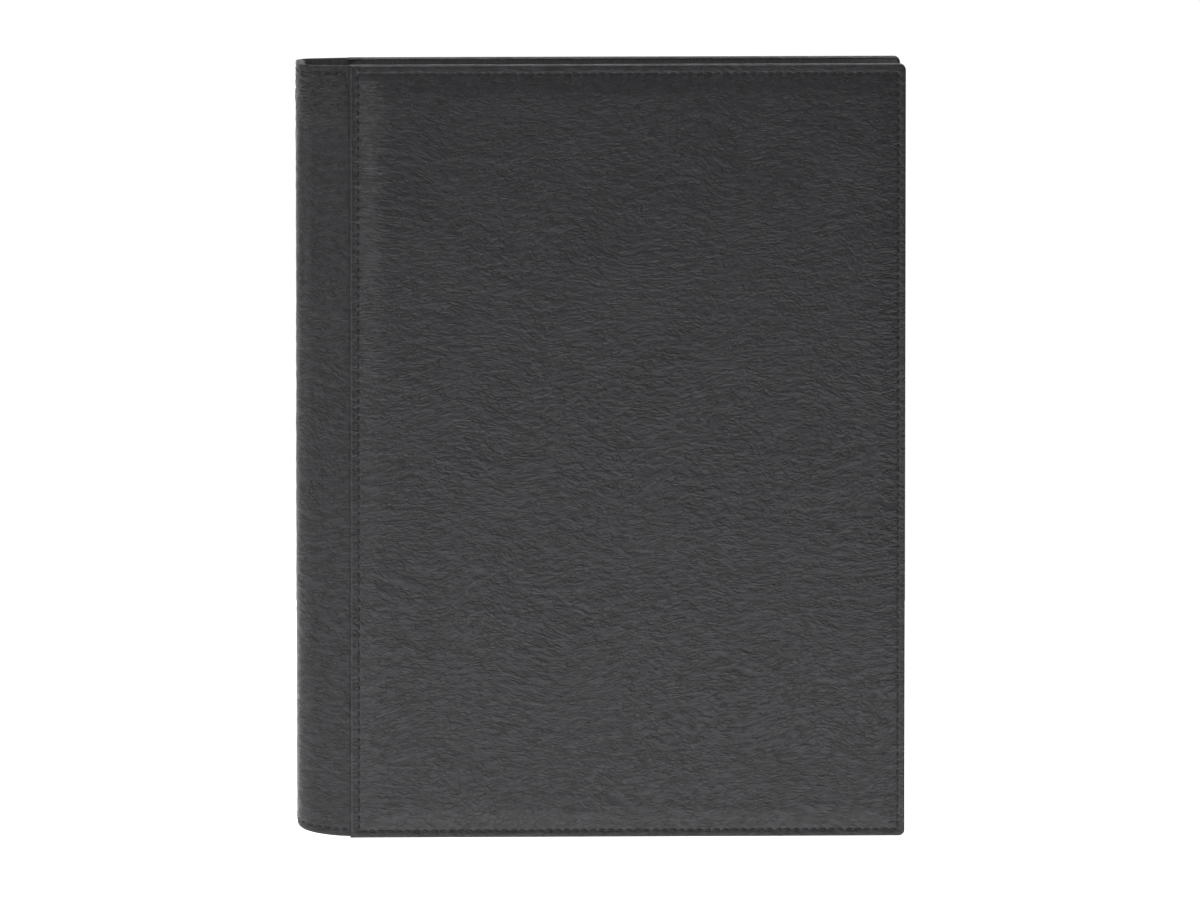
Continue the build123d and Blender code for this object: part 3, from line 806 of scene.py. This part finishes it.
class Finish:
    """Procedural material built from a few small steps. Patterns are laid out in millimetres."""

    def __init__(self, name, colour, roughness):
        self.material = bpy.data.materials.new(name)
        self.material.use_nodes = True
        self.tree = self.material.node_tree
        self.shader = self.tree.nodes["Principled BSDF"]
        self.shader.inputs["Base Color"].default_value = (*colour, 1.0)
        self.shader.inputs["Roughness"].default_value = roughness
        self.fixed_place = self.tree.nodes.new("ShaderNodeTexCoord").outputs["Object"]
        self.place = self.fixed_place
        self.relief = None

    def flow(self, size, reach):
        """Let the following patterns wander, so that their direction drifts over the surface."""
        drift = self.tree.nodes.new("ShaderNodeTexNoise")
        drift.inputs["Scale"].default_value = 1.0
        drift.inputs["Detail"].default_value = 1.0
        self.link(self.stretched((size, size, size)), drift, "Vector")
        centred = self.tree.nodes.new("ShaderNodeVectorMath")
        centred.operation = "MULTIPLY_ADD"
        centred.inputs[1].default_value = [reach * MM] * 3
        centred.inputs[2].default_value = [-0.5 * reach * MM] * 3
        self.link(drift.outputs["Color"], centred, 0)
        moved = self.tree.nodes.new("ShaderNodeVectorMath")
        moved.operation = "ADD"
        self.link(self.place, moved, 0)
        self.link(centred.outputs["Vector"], moved, 1)
        self.place = moved.outputs["Vector"]

    def link(self, output, node, socket):
        """Feed a node's output into another node's input."""
        self.tree.links.new(output, node.inputs[socket])

    def stretched(self, sizes, turn=(0.0, 0.0, 0.0), source=None):
        """Coordinates in which one unit spans these sizes in millimetres."""
        node = self.tree.nodes.new("ShaderNodeMapping")
        node.inputs["Scale"].default_value = [1.0 / (size * MM) for size in sizes]
        node.inputs["Rotation"].default_value = [math.radians(angle) for angle in turn]
        self.link(source or self.place, node, "Vector")
        return node.outputs["Vector"]

    def noise(self, sizes, detail=2.0, roughness=0.5, distortion=0.0, turn=(0.0, 0.0, 0.0)):
        """Soft noise of 0 to 1 whose features span these sizes in millimetres."""
        node = self.tree.nodes.new("ShaderNodeTexNoise")
        node.inputs["Scale"].default_value = 1.0
        node.inputs["Detail"].default_value = detail
        node.inputs["Roughness"].default_value = roughness
        node.inputs["Distortion"].default_value = distortion
        self.link(self.stretched(sizes, turn), node, "Vector")
        return node.outputs["Fac"]

    def cells(self, sizes, warp=None, turn=(0.0, 0.0, 0.0)):
        """Distance to the nearest cell border: 0 along the creases between pebbles."""
        node = self.tree.nodes.new("ShaderNodeTexVoronoi")
        node.feature = "DISTANCE_TO_EDGE"
        node.inputs["Scale"].default_value = 1.0
        place = self.stretched(sizes, turn)
        if warp:
            shift = self.tree.nodes.new("ShaderNodeVectorMath")
            shift.operation = "ADD"
            self.link(place, shift, 0)
            self.link(self.ramp(warp, 0.0, 1.0, -0.45, 0.45), shift, 1)
            place = shift.outputs["Vector"]
        self.link(place, node, "Vector")
        return node.outputs["Distance"]

    def ramp(self, value, low, high, new_low, new_high):
        """Carry the range low to high over to a new range, clamped."""
        node = self.tree.nodes.new("ShaderNodeMapRange")
        for socket, number in zip(
            ("From Min", "From Max", "To Min", "To Max"), (low, high, new_low, new_high)
        ):
            node.inputs[socket].default_value = number
        self.link(value, node, "Value")
        return node.outputs["Result"]

    def between(self, axis, start, full, ease, end):
        """1 from full to ease along an axis of the object, fading to 0 at start and end."""
        split = self.tree.nodes.new("ShaderNodeSeparateXYZ")
        self.link(self.fixed_place, split, "Vector")
        rising = self.ramp(split.outputs[axis], start * MM, full * MM, 0.0, 1.0)
        falling = self.ramp(split.outputs[axis], ease * MM, end * MM, 1.0, 0.0)
        return self.combine("MULTIPLY", rising, falling)

    def combine(self, operation, first, second):
        """Arithmetic on two values."""
        node = self.tree.nodes.new("ShaderNodeMath")
        node.operation = operation
        self.link(first, node, 0)
        self.link(second, node, 1)
        return node.outputs["Value"]

    def bump(self, height, depth):
        """Add relief of this depth in millimetres."""
        node = self.tree.nodes.new("ShaderNodeBump")
        node.inputs["Strength"].default_value = 1.0
        node.inputs["Distance"].default_value = depth * MM
        self.link(height, node, "Height")
        if self.relief:
            self.link(self.relief, node, "Normal")
        self.relief = node.outputs["Normal"]
        self.link(self.relief, self.shader, "Normal")

    def mix_colour(self, factor, first, second):
        """Base colour between two colours."""
        node = self.tree.nodes.new("ShaderNodeMix")
        node.data_type = "RGBA"
        node.inputs["A"].default_value = (*first, 1.0)
        node.inputs["B"].default_value = (*second, 1.0)
        self.link(factor, node, "Factor")
        self.link(node.outputs["Result"], self.shader, "Base Color")

    def set(self, **values):
        """Set plain inputs of the shader, with _ for a space in their names."""
        for socket, value in values.items():
            self.shader.inputs[socket.replace("_", " ")].default_value = value

    def give(self, piece):
        """Make this the only material of a piece."""
        piece.data.materials.clear()
        piece.data.materials.append(self.material)


def leather_finish(name, colour, pebble, roughness=0.40):
    """Drawn black leather: creased pebbles, fine pores, soft sheen, duller in the creases."""
    leather = Finish(name, colour, roughness)
    painted_crease_shade = tuple(c * 0.2 for c in colour)     # painted shade in the creases
    light = tuple(c * 1.6 for c in colour)    # on the raised tops: partly wear, partly a painted highlight
    leather.flow(52.0, 20.0)
    tilt = (0.0, -8.0, 0.0)                   # the grain leans this much, in degrees
    swirl = leather.noise((4.0, 4.0, 3.0), detail=2.0)
    coarse = leather.cells((pebble * 2.3, pebble * 2.3, pebble * 1.15), swirl, tilt)
    fine = leather.cells((pebble * 0.9, pebble * 0.9, pebble * 0.6), swirl)
    streak = leather.noise((pebble * 3.2, pebble * 3.2, pebble * 1.5), 2.0, 0.5, 0.5, tilt)
    gate = leather.noise((pebble * 3.0, pebble * 3.0, pebble * 2.2), 2.0)
    pores = leather.noise((0.32, 0.32, 0.28), 2.0)
    tops = leather.ramp(coarse, 0.0, 0.22, 0.0, 1.0)
    swell = leather.ramp(streak, 0.32, 0.68, 0.0, 1.0)
    gaps = leather.ramp(tops, 0.0, 1.0, 1.0, 0.0)
    creases = leather.combine("MULTIPLY", gaps, leather.ramp(gate, 0.4, 0.6, 0.15, 1.0))
    raised = leather.ramp(creases, 0.0, 1.0, 1.0, 0.0)
    painted_light_and_wear = leather.combine("MULTIPLY", raised, leather.ramp(swell, 0.0, 1.0, 0.32, 1.0))
    # Colour from these masks: painted shade in the creases, and lighter raised tops that are partly
    # wear and partly a painted highlight.
    leather.mix_colour(painted_light_and_wear, painted_crease_shade, light)

    # The relief is flatter towards the top and the bottom.
    middle = leather.between(ALONG_Z, -70.0, 90.0, 190.0, 350.0)
    flatter = leather.ramp(middle, 0.0, 1.0, 0.5, 1.0)
    leather.bump(leather.combine("MULTIPLY", swell, flatter), 0.20)
    leather.bump(leather.combine("MULTIPLY", raised, flatter), 0.12)
    leather.bump(leather.ramp(fine, 0.0, 0.14, 0.0, 1.0), 0.03)
    leather.bump(pores, 0.012)

    # The seam pulls tugs into the panel beside the lap, and folds gather at the spine's top.
    pulled = leather.between(ALONG_X, -101.5, -99.0, -96.0, -86.0)
    pulled = leather.combine(
        "MULTIPLY", pulled, leather.between(ALONG_Z, 150.0, 235.0, 309.0, 315.0)
    )
    gathered = leather.between(ALONG_X, -124.0, -120.0, -108.0, -103.5)
    gathered = leather.combine(
        "MULTIPLY", gathered, leather.between(ALONG_Z, 292.0, 302.0, 313.0, 316.0)
    )
    tugs = leather.ramp(leather.noise((5.5, 5.5, 0.85), 2.0, 0.5, 0.4), 0.35, 0.65, 0.0, 1.0)
    leather.bump(leather.combine("MULTIPLY", tugs, pulled), 0.42)
    folds = leather.ramp(leather.noise((4.0, 4.0, 1.1), 2.0, 0.5, 0.8), 0.35, 0.65, 0.0, 1.0)
    leather.bump(leather.combine("MULTIPLY", folds, gathered), 1.4)

    leather.link(
        leather.ramp(painted_light_and_wear, 0.0, 1.0, roughness + 0.14, roughness - 0.02),
        leather.shader,
        "Roughness",
    )
    leather.set(
        Specular_IOR_Level=0.42, Sheen_Weight=0.02, Sheen_Roughness=0.5, Coat_Weight=0.04,
        Coat_Roughness=0.36,
    )
    return leather


LEATHER = leather_finish("leather", (0.0128, 0.0122, 0.0146), 1.35)
# The wrap takes a darker, less glossy copy of the cover leather: painted shade, so that the spine
# comes out darker than the covers.
SHADED_WRAP_LEATHER = leather_finish("wrap_leather", (0.0116, 0.0110, 0.0132), 1.35, 0.42)
SHADED_WRAP_LEATHER.set(Specular_IOR_Level=0.36)
POCKET_FINISH = leather_finish("pocket_leather", (0.018, 0.018, 0.0186), 0.8, 0.46)

CLOTH = Finish("lining", (0.055, 0.055, 0.057), 0.78)
warp_threads = CLOTH.noise((0.34, 0.34, 5.0), 1.0)
weft_threads = CLOTH.noise((5.0, 5.0, 0.34), 1.0)
CLOTH.bump(warp_threads, 0.06)
CLOTH.bump(weft_threads, 0.06)
CLOTH.mix_colour(
    CLOTH.ramp(CLOTH.noise((0.5, 0.5, 14.0), 2.0), 0.3, 0.75, 0.0, 1.0),
    (0.042, 0.042, 0.044), (0.070, 0.070, 0.073),
)
CLOTH.set(Sheen_Weight=0.25, Sheen_Roughness=0.4, Specular_IOR_Level=0.35)

THREAD = Finish("thread", (0.010, 0.010, 0.011), 0.5)
THREAD.bump(THREAD.noise((0.3, 0.3, 0.3), 1.0), 0.05)
THREAD.mix_colour(
    THREAD.ramp(THREAD.noise((0.7, 0.7, 0.7), 2.0), 0.3, 0.7, 0.0, 1.0),
    (0.004, 0.004, 0.0045), (0.012, 0.012, 0.0125),
)
THREAD.set(Specular_IOR_Level=0.3)

BOARD = Finish("board", (0.30, 0.28, 0.25), 0.9)
BOARD.mix_colour(
    BOARD.ramp(BOARD.noise((1.2, 0.25, 1.2), 4.0), 0.3, 0.7, 0.0, 1.0),
    (0.20, 0.185, 0.165), (0.36, 0.34, 0.31),
)
BOARD.bump(BOARD.noise((0.8, 0.2, 0.8), 3.0), 0.05)

FOAM = Finish("foam", (0.05, 0.05, 0.052), 0.95)
FOAM.bump(FOAM.cells((0.7, 0.7, 0.7)), 0.15)
FOAM.mix_colour(FOAM.noise((0.9, 0.9, 0.9), 2.0), (0.03, 0.03, 0.032), (0.08, 0.08, 0.083))

STEEL = Finish("plated_steel", (0.60, 0.595, 0.58), 0.2)
STEEL.set(Metallic=1.0)
STEEL.bump(STEEL.noise((0.22, 0.22, 7.0), 2.0), 0.004)
STEEL.bump(STEEL.noise((6.0, 6.0, 6.0), 2.0), 0.03)
STEEL.link(
    STEEL.ramp(STEEL.noise((3.0, 3.0, 9.0), 4.0), 0.3, 0.75, 0.14, 0.33), STEEL.shader, "Roughness"
)
STEEL.mix_colour(
    STEEL.ramp(STEEL.noise((14.0, 14.0, 20.0), 3.0), 0.4, 0.8, 0.0, 1.0),
    (0.63, 0.625, 0.61), (0.50, 0.49, 0.47),
)

FILM = Finish("clear_film", (0.96, 0.965, 0.97), 0.06)
FILM.set(Transmission_Weight=1.0, IOR=1.45, Specular_IOR_Level=0.5)
FILM.bump(FILM.noise((26.0, 26.0, 34.0), 2.0), 0.25)
FILM.link(
    FILM.ramp(FILM.noise((9.0, 9.0, 9.0), 4.0), 0.4, 0.8, 0.04, 0.14), FILM.shader, "Roughness"
)

CARD = Finish("black_card", (0.020, 0.020, 0.021), 0.8)
CARD.bump(CARD.noise((0.5, 0.2, 0.9), 3.0), 0.03)
CARD.mix_colour(
    CARD.ramp(CARD.noise((0.9, 0.9, 1.8), 4.0), 0.3, 0.7, 0.0, 1.0),
    (0.015, 0.015, 0.016), (0.028, 0.028, 0.030),
)


# The object ---------------------------------------------------------------------------------

LEATHER_SEEDS = {"front": 31, "rear": 57}
for cover in SIDES:
    LEATHER.give(cover_leather(cover, LEATHER_SEEDS[cover]))
    SHADED_WRAP_LEATHER.give(wrap_leather(cover))
    CLOTH.give(wrap_lining(cover))
    CLOTH.give(cover_lining(cover))
    POCKET_FINISH.give(pocket(cover))
    THREAD.give(cover_thread(cover))
    THREAD.give(wrap_thread(cover))
    THREAD.give(pocket_thread(cover))
    CARD.give(black_cards(cover))
BOARD.give(spine_board())

FINISHED_NODES = (
    (STEEL, (
        "ring_housing", "lever_pins", "mounting_rivets", "trigger_lever_top",
        "trigger_lever_bottom", "ring_rail_front", "ring_rail_rear", "ring_halves_front",
        "ring_halves_rear",
    )),
    (BOARD, ("front_board", "rear_board")),
    (FOAM, ("front_foam_pad", "rear_foam_pad")),
    (FILM, ("sleeves_front", "sleeves_rear")),
)
for finish, names in FINISHED_NODES:
    for node in names:
        finish.give(bpy.data.objects[node])


# Studio -------------------------------------------------------------------------------------

# Places and sizes from here on are in metres, and the powers of the lights in watts.
MIDDLE = Vector((0.0, 0.0, HEIGHT / 2.0 * MM))
SPINE_MIDDLE = (-0.12, 0.0, 0.16)
FLOOR_RADIUS = 0.8
FLOOR_DROP = 0.0006        # the floor lies this far below the object
FLOOR_GLOW = 1.50          # brighter than white, so that it lights the lower part
AMBIENT = 0.075            # light from all sides
BACKGROUND = 1.05          # brightness of the white seen behind the object


def studio_floor():
    """Round pale floor that keeps only a soft contact shadow."""
    shell = bmesh.new()
    bmesh.ops.create_circle(shell, cap_ends=True, radius=FLOOR_RADIUS, segments=128)
    floor = object_from(shell, "floor")
    floor.location.z = -FLOOR_DROP
    finish = Finish("floor", (0.9, 0.9, 0.9), 0.9)
    finish.set(Specular_IOR_Level=0.0, Emission_Strength=FLOOR_GLOW)
    finish.shader.inputs["Emission Color"].default_value = (1.0, 1.0, 1.0, 1.0)
    finish.give(floor)


def softbox(name, place, target, size, power, height=None):
    """Rectangular area light at a place, aimed at a target."""
    light = bpy.data.lights.new(name, "AREA")
    light.shape = "RECTANGLE"
    light.size = size
    light.size_y = height or size
    light.energy = power
    lamp = bpy.data.objects.new(name, light)
    lamp.location = place
    lamp.visible_camera = False
    lamp.rotation_euler = (Vector(target) - Vector(place)).to_track_quat("-Z", "Y").to_euler()
    bpy.context.scene.collection.objects.link(lamp)


studio_floor()
softbox("key", (-1.25, -1.6, 0.85), MIDDLE, 0.35, 9.0)
softbox("left", (-1.6, -0.5, 0.5), (-0.11, 0.0, 0.16), 0.4, 6.0, 1.0)
softbox("back_left", (-1.3, 1.1, 0.6), SPINE_MIDDLE, 0.9, 6.5, 1.2)
softbox("top", (0.0, -0.2, 1.5), MIDDLE, 0.9, 18.0)
softbox("backdrop", (0.2, 2.0, 0.5), MIDDLE, 3.0, 13.0, 1.0)



def studio_world():
    """White behind the object for the camera, and dim light from all sides for the rest."""
    world = bpy.data.worlds.new("studio")
    bpy.context.scene.world = world
    world.use_nodes = True
    nodes = world.node_tree.nodes
    links = world.node_tree.links
    seen = nodes["Background"]
    seen.inputs["Color"].default_value = (1.0, 1.0, 1.0, 1.0)
    seen.inputs["Strength"].default_value = BACKGROUND
    lighting = nodes.new("ShaderNodeBackground")
    lighting.inputs["Strength"].default_value = AMBIENT
    path = nodes.new("ShaderNodeLightPath")
    mix = nodes.new("ShaderNodeMixShader")
    links.new(path.outputs["Is Camera Ray"], mix.inputs["Fac"])
    links.new(lighting.outputs["Background"], mix.inputs[1])
    links.new(seen.outputs["Background"], mix.inputs[2])
    links.new(mix.outputs["Shader"], nodes["World Output"].inputs["Surface"])


VIEW_DISTANCE = 8.0
VIEW_ELEVATION = math.radians(6.5)
VIEW_AZIMUTH = math.radians(-1.8)
VIEW_WIDTH = 0.4923        # width of the picture at the object
AIM = MIDDLE - Vector((0.0, 0.0, 0.0014))
SENSOR_WIDTH = 36.0        # in millimetres


def studio_camera():
    """Camera far in front of the object, slightly above it and slightly to its left."""
    camera_data = bpy.data.cameras.new("camera")
    camera_data.sensor_width = SENSOR_WIDTH
    camera_data.lens = SENSOR_WIDTH * VIEW_DISTANCE / VIEW_WIDTH
    camera_data.clip_end = 50.0
    camera = bpy.data.objects.new("camera", camera_data)
    camera.location = AIM + VIEW_DISTANCE * Vector((
        math.sin(VIEW_AZIMUTH) * math.cos(VIEW_ELEVATION),
        -math.cos(VIEW_AZIMUTH) * math.cos(VIEW_ELEVATION),
        math.sin(VIEW_ELEVATION),
    ))
    camera.rotation_euler = (AIM - camera.location).to_track_quat("-Z", "Y").to_euler()
    bpy.context.scene.collection.objects.link(camera)
    bpy.context.scene.camera = camera


studio_world()
studio_camera()
bpy.context.scene.view_settings.view_transform = "Standard"
bpy.context.scene.view_settings.look = "None"
